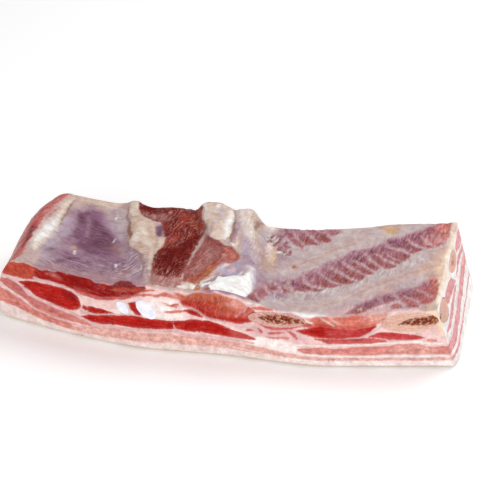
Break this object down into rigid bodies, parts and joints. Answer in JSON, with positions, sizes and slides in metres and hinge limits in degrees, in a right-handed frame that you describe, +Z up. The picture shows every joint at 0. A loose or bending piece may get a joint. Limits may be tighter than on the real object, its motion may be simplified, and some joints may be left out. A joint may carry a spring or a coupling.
{
  "type": "salted pork belly strip",
  "caption": "Raw salted strip of pork belly on the bone: layered lean and fat on its rind, rib side up, with cut ribs and cartilage in the cut face.",
  "frame": {"origin": "middle of the box round the strip, on the surface it lies on", "axes": "+X along the strip towards its bony end, +Y from the front cut to the back cut, +Z up from the rind to the rib side"},
  "size_m": [0.2982, 0.1275, 0.0531],
  "materials": {
    "flesh": "satin",
    "bone": "matte",
    "cartilage": "satin"
  },
  "bodies": {
    "root": {"belly": "flesh", "rib_front": "bone", "rib_corner": "bone", "rib_back": "bone", "cartilage_small": "cartilage", "cartilage_large": "cartilage"}
  },
  "joints": []
}
